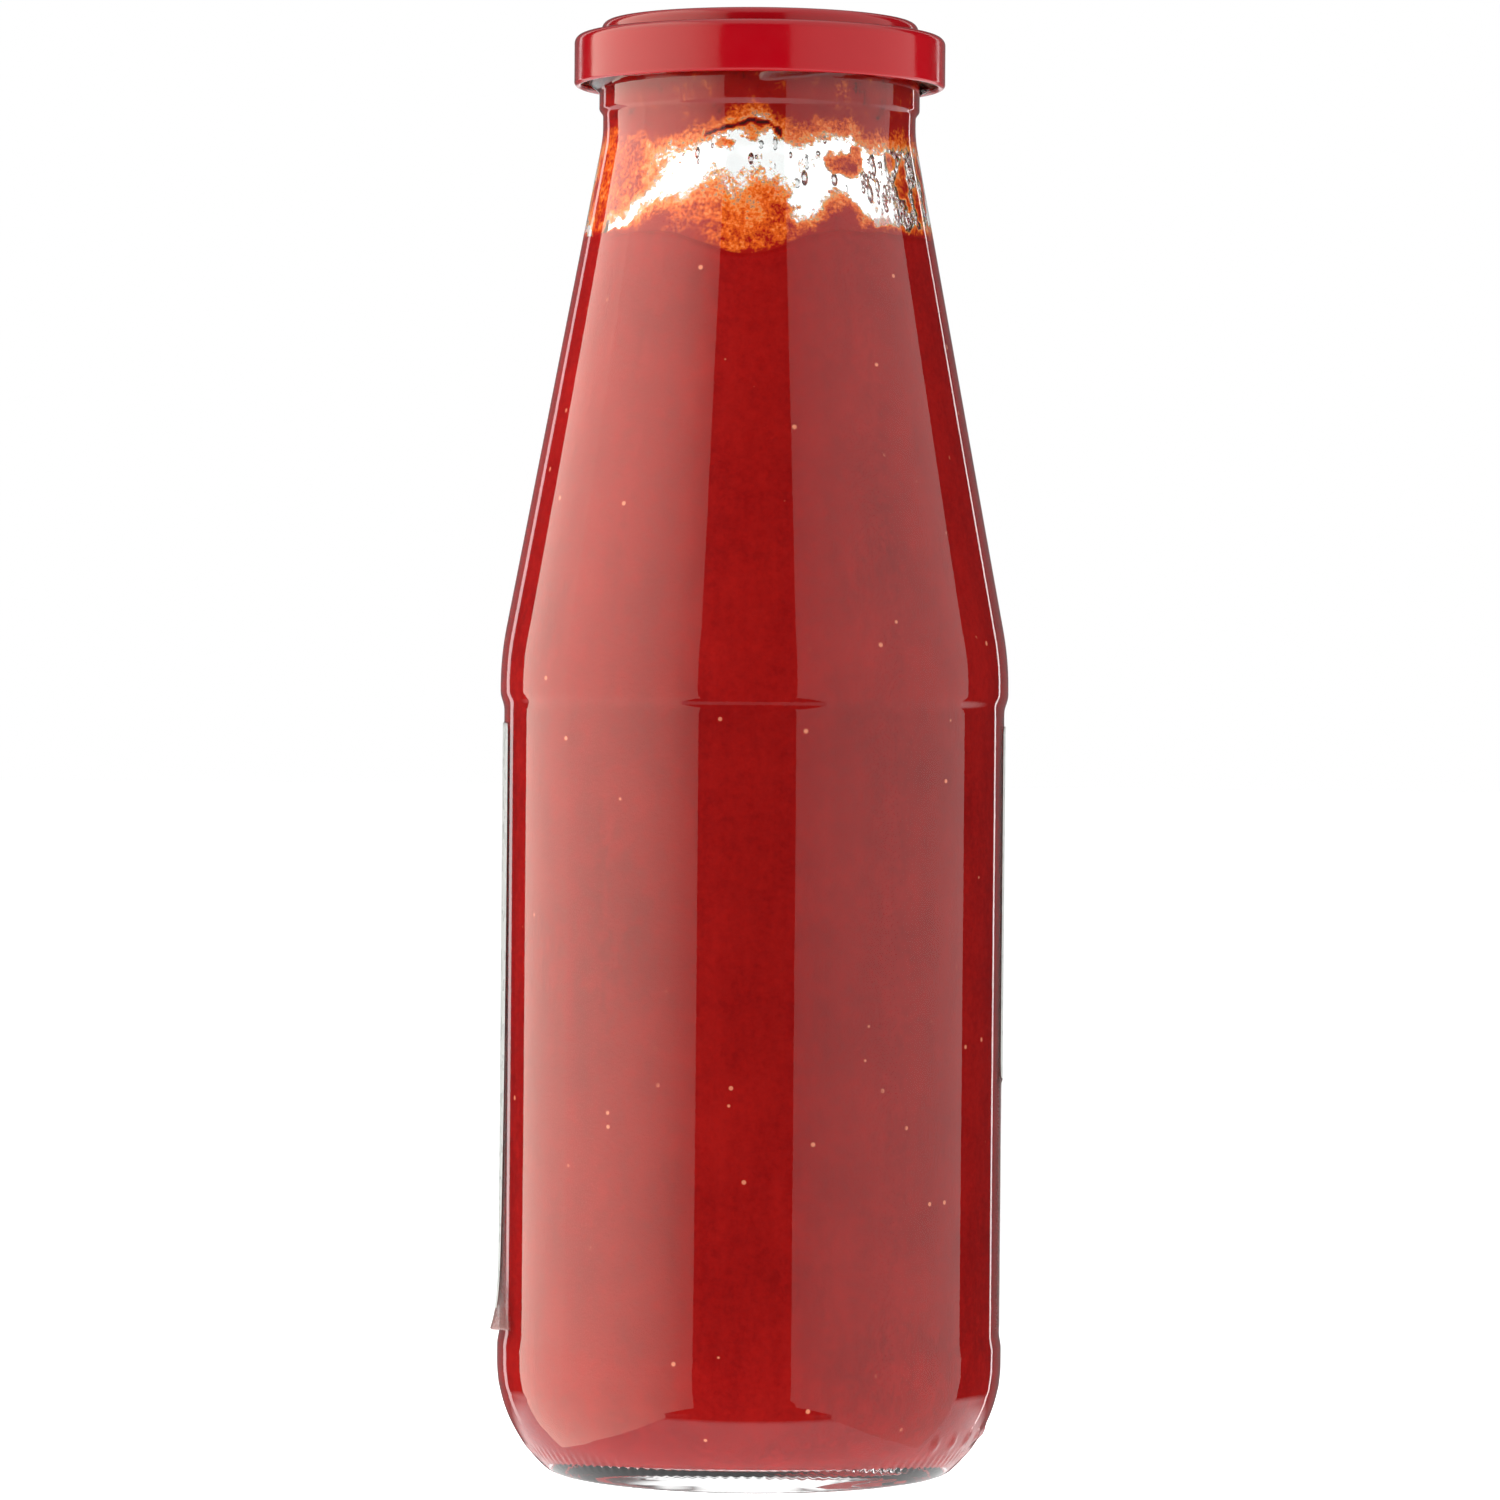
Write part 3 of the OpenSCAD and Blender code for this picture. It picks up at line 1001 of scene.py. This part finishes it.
LID_R = lid_high.x
LID_TOP = lid_high.z
LID_BOTTOM = lid_low.z
SHEET = 0.25 * MM
LID_CORNER = 1.3 * MM
LID_SHOULDER = LID_TOP - 2.2 * MM
RING_R = LIP_R + 0.25 * MM + SHEET
CHANNEL_IN = RING_R - LID_CORNER - 3.6 * MM
BUTTON_R = 11.0 * MM
BUTTON_RISE = 0.4 * MM
BUTTON_EDGE = 1.2 * MM
FACE_SUNK = 0.9 * MM
RING_FOOT = 0.3 * MM
CURL_R = 0.6 * MM
LID_SEGMENTS = 288


def lid_face(depth):
    """The lid's upper face from its middle to the top of the skirt, moved in by depth."""
    top = LID_TOP - depth
    corner = LID_CORNER - depth
    low = top - FACE_SUNK
    button = low + BUTTON_RISE
    button_end = BUTTON_R + BUTTON_EDGE
    channel = CHANNEL_IN - 1 * MM
    return [
        (0.0, button),
        *run((0.0, button), (BUTTON_R, button), 4),
        *ease_across((BUTTON_R, button), (button_end, low), 5),
        *run((button_end, low), (channel, low), 3),
        *ease_across((channel + depth, low), (CHANNEL_IN + depth, top), 6),
        *arc(RING_R - LID_CORNER, LID_TOP - LID_CORNER, corner, 90, 0, 8),
        *arc(RING_R + RING_FOOT, LID_SHOULDER + RING_FOOT, RING_FOOT + depth, 180, 270, 4),
        *arc(LID_R - LID_CORNER, LID_SHOULDER - LID_CORNER, corner, 90, 0, 8),
    ]


def lug(angle):
    """1 in the middle of a lug, and 0 away from it."""
    turn = 360.0 / THREADS
    off = (angle - THREAD_AT - LUG_AT + turn / 2) % turn - turn / 2
    return min(1.0, max(0.0, (LUG_SPAN / 2 + 1.5 - abs(off)) / 3.0))


def lid_shift(angle, r, z, normal):
    """Presses the curl's inner side in at the lugs."""
    if z < LID_BOTTOM + 2.05 * CURL_R and r < LID_R - 0.9 * CURL_R:
        reach = (LID_R - 0.9 * CURL_R - r) / (1.1 * CURL_R)
        return -lug(angle) * LUG_REACH * min(1.0, max(0.0, reach) * 1.6), 0.0
    return 0.0, 0.0


def make_lid():
    curl_r, curl_z = LID_R - CURL_R, LID_BOTTOM + CURL_R
    skirt_top = LID_SHOULDER - LID_CORNER
    outer = lid_face(0.0) + run((LID_R, skirt_top), (LID_R, curl_z), 6)
    curl = arc(curl_r, curl_z, CURL_R, 0, -250, 16)
    inner = [(LID_R - SHEET, LID_BOTTOM + 2 * CURL_R + SHEET)]
    inner += run(inner[0], (LID_R - SHEET, skirt_top), 4) + list(reversed(lid_face(SHEET)))
    outline = outer + curl + inner
    first_inner = len(outer) + len(curl)

    finishes = [lid_material(), lacquer_material()]
    piece = lathe("lid_shell", outline, finishes, LID_SEGMENTS, lid_shift)
    per_segment = len(outline) - 1
    for k in range(LID_SEGMENTS):
        for i in range(first_inner, per_segment):
            piece.data.polygons[k * per_segment + i].material_index = 1
    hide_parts("lid")
    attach(piece, "root")
    return piece


# ---------------------------------------------------------------- the label

LABEL_R = PANEL_R + 0.05 * MM
FILM_T = 0.09 * MM
PRINT_T = 0.03 * MM
PRINT_GAP = 0.01 * MM
LABEL_START = -11.0
LABEL_END = 194.0
PEEL_AT = LABEL_END - 10.0
PEEL_HEIGHT = 3.2 * MM
PEEL_LIFT = 1.3 * MM


def peel(angle, z):
    """How far the label's lower corner at its left end stands off the glass."""
    near = bell(angle - PEEL_AT, 7.0)
    wrinkle = 0.12 * MM * bell(z - 61.0 * MM, 1.6 * MM) * bell(angle - LABEL_START, 7.0)
    return PEEL_LIFT * near * math.exp((label_low.z - z) / PEEL_HEIGHT) + wrinkle


def slant(angle, z):
    """How far the label's lower corner at its left end reaches round the glass, in degrees."""
    near = max(0.0, 1.0 - (LABEL_END - angle) / 16.0)
    return 6.0 * near * math.exp((label_low.z - z) / (7.0 * MM))


def film_field(angle, z):
    """Above 0 everywhere, because the film fills the whole label."""
    return 1.0


def print_field(angle, z):
    """Above 0 inside the white print, whose ends curve away from the film's lower corners."""
    low = (z - label_low.z) / MM
    left = LABEL_END - 0.4 - 9.0 * math.exp(-max(0.0, low) / 20.0) - angle
    right = angle - (LABEL_START + 2.0 + 60.0 * max(0.0, 1.0 - low / 38.6) ** 0.45)
    foot = low - 1.0 - 2.4 * math.exp((angle - LABEL_END) / 30.0)
    edges = [left, right, foot * 2.0, ((label_high.z - z) / MM - 0.1) * 2.0]
    return min(edges)


def make_label():
    angles = steps(LABEL_START, LABEL_END, 1.0)
    low = label_low.z
    heights = steps(low, low + 8 * MM, 0.5 * MM) + steps(low + 9 * MM, label_high.z, 1.0 * MM)

    def side(base, thick):
        """Places a layer's points at its thickness over its base."""

        def place(angle, z, value):
            lift = peel(angle, z)
            return polar(LABEL_R + base + thick + lift, angle + slant(angle, z), z - 0.5 * lift)

        return place

    cut = grid_cut(film_field, angles, heights, False)
    film = skin("label_film", cut, side(0.0, FILM_T), side(0.0, 0.0), film_material())
    lift = film.data.attributes.new("lift", "FLOAT", "POINT")
    values = [min(1.0, peel(angle, z) / PEEL_LIFT) for angle, z, value in cut[0]]
    lift.data.foreach_set("value", values + values)
    base = FILM_T + PRINT_GAP
    fine_angles = steps(LABEL_START, LABEL_END, 0.5)
    cut = grid_cut(print_field, fine_angles, heights, False)
    printed = skin("label_print", cut, side(base, PRINT_T), side(base, 0.0), print_material())
    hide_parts("label")
    for piece in (film, printed):
        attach(piece, "root")


# ---------------------------------------------------------------- the studio

EYE = Vector((0.0, -0.966, 0.1228))
FOCAL_MM = 149.6
SENSOR_MM = 36.0
PITCH, YAW, ROLL = -0.672, 0.037, 0.49
WORLD_DARK = 0.03
BOX_LOW, BOX_HIGH = -0.52, 1.5
STRIP_LOW, STRIP_HIGH = -0.3, 1.2
FLOOR_HALF = 6.0


def make_camera():
    data = bpy.data.cameras.new("camera")
    data.lens = FOCAL_MM
    data.sensor_width = SENSOR_MM
    data.clip_start = 0.01
    camera = bpy.data.objects.new("camera", data)
    bpy.context.scene.collection.objects.link(camera)
    camera.location = EYE
    turn = Euler((math.radians(90 + PITCH), 0.0, math.radians(YAW)), "XYZ").to_matrix()
    tilt = Euler((0.0, 0.0, math.radians(ROLL)), "XYZ").to_matrix()
    camera.rotation_euler = (turn @ tilt).to_euler()
    bpy.context.scene.camera = camera


def emission(name, tint, strength_nodes):
    material = bpy.data.materials.new(name)
    material.use_nodes = True
    tree = material.node_tree
    tree.nodes.clear()
    out = tree.nodes.new("ShaderNodeOutputMaterial")
    glow = tree.nodes.new("ShaderNodeEmission")
    glow.inputs["Color"].default_value = (*tint, 1.0)
    tree.links.new(glow.outputs["Emission"], out.inputs["Surface"])
    strength_nodes(tree, glow)
    return material


def softbox(name, x, y_near, y_far, powers, fade, tint, rays):
    """A tall soft light beside the bottle, which grows over its first part from the camera.

    rays says what it is for: what gloss reflects, what lies inside the glass, or what lies bare."""
    vertices = [(x, y_near, BOX_LOW), (x, y_far, BOX_LOW), (x, y_far, BOX_HIGH), (x, y_near, BOX_HIGH)]
    face = (0, 1, 2, 3) if x > 0 else (3, 2, 1, 0)

    def strength(tree, glow):
        place = tree.nodes.new("ShaderNodeTexCoord")
        split = tree.nodes.new("ShaderNodeSeparateXYZ")
        tree.links.new(place.outputs["Object"], split.inputs["Vector"])
        grown = range_node(tree, split.outputs["Y"], y_near, y_near + fade, *powers, True)
        tree.links.new(grown, glow.inputs["Strength"])

    box = add_mesh(name, vertices, [face], emission(name, tint, strength), smooth=False)
    box.visible_camera = False
    box.visible_glossy = rays == "gloss"
    box.visible_transmission = rays == "inside"
    box.visible_diffuse = rays == "bare"


def strip_light(name, side, distance, angle, width, power):
    """A narrow tall light behind the bottle, angle degrees from straight behind it."""
    corners = []
    for turn, z in ((-0.5, STRIP_LOW), (0.5, STRIP_LOW), (0.5, STRIP_HIGH), (-0.5, STRIP_HIGH)):
        a = math.radians(angle + turn * width)
        corners.append((side * distance * math.sin(a), distance * math.cos(a), z))

    def strength(tree, glow):
        glow.inputs["Strength"].default_value = power

    strip = add_mesh(name, corners, [(0, 1, 2, 3)], emission(name, (1, 1, 1), strength), smooth=False)
    strip.visible_camera = False
    strip.visible_diffuse = False
    strip.visible_transmission = False


def make_floor():
    """A pale floor that glows like a light table, most of all under the bottle."""
    m = Nodes("pale_floor")
    tone = m.mix(m.range(m.noise(6.0, 2.0), 0.3, 0.7), (0.50, 0.50, 0.50), (0.54, 0.54, 0.54))
    m.link(tone, m.shader.inputs["Base Color"])
    m.set(Roughness=0.9, Specular_IOR_Level=0.1, Emission_Color=(1, 1, 1, 1))
    away = m.node("ShaderNodeVectorMath", operation="LENGTH")
    m.link(m.place, away.inputs[0])
    glow = m.range(away.outputs["Value"], 0.05, 0.15, 2.2, 0.85, True)
    m.link(glow, m.shader.inputs["Emission Strength"])
    half = FLOOR_HALF
    vertices = [(-half, -half, 0), (half, -half, 0), (half, half, 0), (-half, half, 0)]
    floor = add_mesh("floor", vertices, [(0, 1, 2, 3)], m.material, smooth=False)
    floor.visible_glossy = False


def make_world():
    """White for the camera, a soft surround for plain surfaces, and for what glass mirrors or
    bends a studio with a small white backdrop, dark flags and a bright table."""
    world = bpy.data.worlds.new("studio")
    bpy.context.scene.world = world
    world.use_nodes = True
    tree = world.node_tree
    sky = tree.nodes["Background"]
    sky.inputs["Color"].default_value = (1, 1, 1, 1)
    place = tree.nodes.new("ShaderNodeTexCoord")
    split = tree.nodes.new("ShaderNodeSeparateXYZ")
    tree.links.new(place.outputs["Generated"], split.inputs["Vector"])
    across, height = split.outputs["Y"], split.outputs["Z"]

    def maths(operation, first, second):
        return maths_node(tree, operation, first, second)

    def glow(source, start, end, power, dark=0.0):
        return range_node(tree, source, start, end, dark, power, True)

    def chosen(flag, first, second):
        """The first strength where the flag is 0, and the second where it is 1."""
        made = tree.nodes.new("ShaderNodeMix")
        tree.links.new(flag, made.inputs["Factor"])
        feed(tree, (first, second), (made.inputs["A"], made.inputs["B"]))
        return made.outputs["Result"]

    paths = tree.nodes.new("ShaderNodeLightPath").outputs
    top = glow(height, 0.5, 0.9, 1.0, WORLD_DARK)
    slope = maths("SUBTRACT", height, maths("MULTIPLY", across, 0.25))
    table = maths("MULTIPLY", glow(slope, -0.33, -0.41, 1.35), glow(height, -0.2, -0.34, 1.0))
    table = maths("MAXIMUM", top, table)
    flags = glow(across, 0.80, 0.88, 0.16, WORLD_DARK)
    mirrored = maths("MAXIMUM", maths("MAXIMUM", glow(across, 0.984, 0.995, 1.1), flags), table)
    lobes = maths("MAXIMUM", glow(across, 0.86, 0.95, 1.15), glow(across, -0.86, -0.95, 0.7))
    passed = maths("MAXIMUM", lobes, table)
    soft = glow(across, -0.3, 0.4, 0.52, 0.25)
    light = chosen(paths["Is Glossy Ray"], soft, mirrored)
    light = chosen(paths["Is Transmission Ray"], light, passed)
    tree.links.new(chosen(paths["Is Camera Ray"], light, 1.0), sky.inputs["Strength"])


make_camera()
make_world()
make_floor()
softbox("shine_left", -0.60, -1.29, 0.44, (0.9, 2.85), 1.4, (1.08, 1.0, 0.87), "gloss")
softbox("shine_right", 0.60, -1.76, 0.215, (0.70, 1.10), 1.9, (1.03, 1.0, 0.96), "gloss")
strip_light("strip_left", -1, 0.92, 33.0, 5.0, 1.6)
strip_light("strip_right", 1, 0.92, 35.5, 2.2, 3.0)
softbox("light_left", -0.62, -1.29, 0.46, (4.0, 7.2), 1.4, (1.0, 1.0, 1.0), "inside")
softbox("light_right", 0.62, -1.76, 0.215, (1.9, 3.6), 1.9, (1.0, 1.0, 1.0), "inside")
softbox("fill_left", -0.64, -1.29, 0.46, (1.0, 1.35), 1.4, (1.0, 1.0, 1.0), "bare")
softbox("fill_right", 0.64, -1.76, 0.46, (0.8, 1.3), 1.9, (1.0, 1.0, 1.0), "bare")
smear = smear_material()
make_glass()
make_passata()
make_smears(smear)
make_drops(smear)
make_lid()
make_label()
bpy.context.scene.view_settings.view_transform = "Standard"
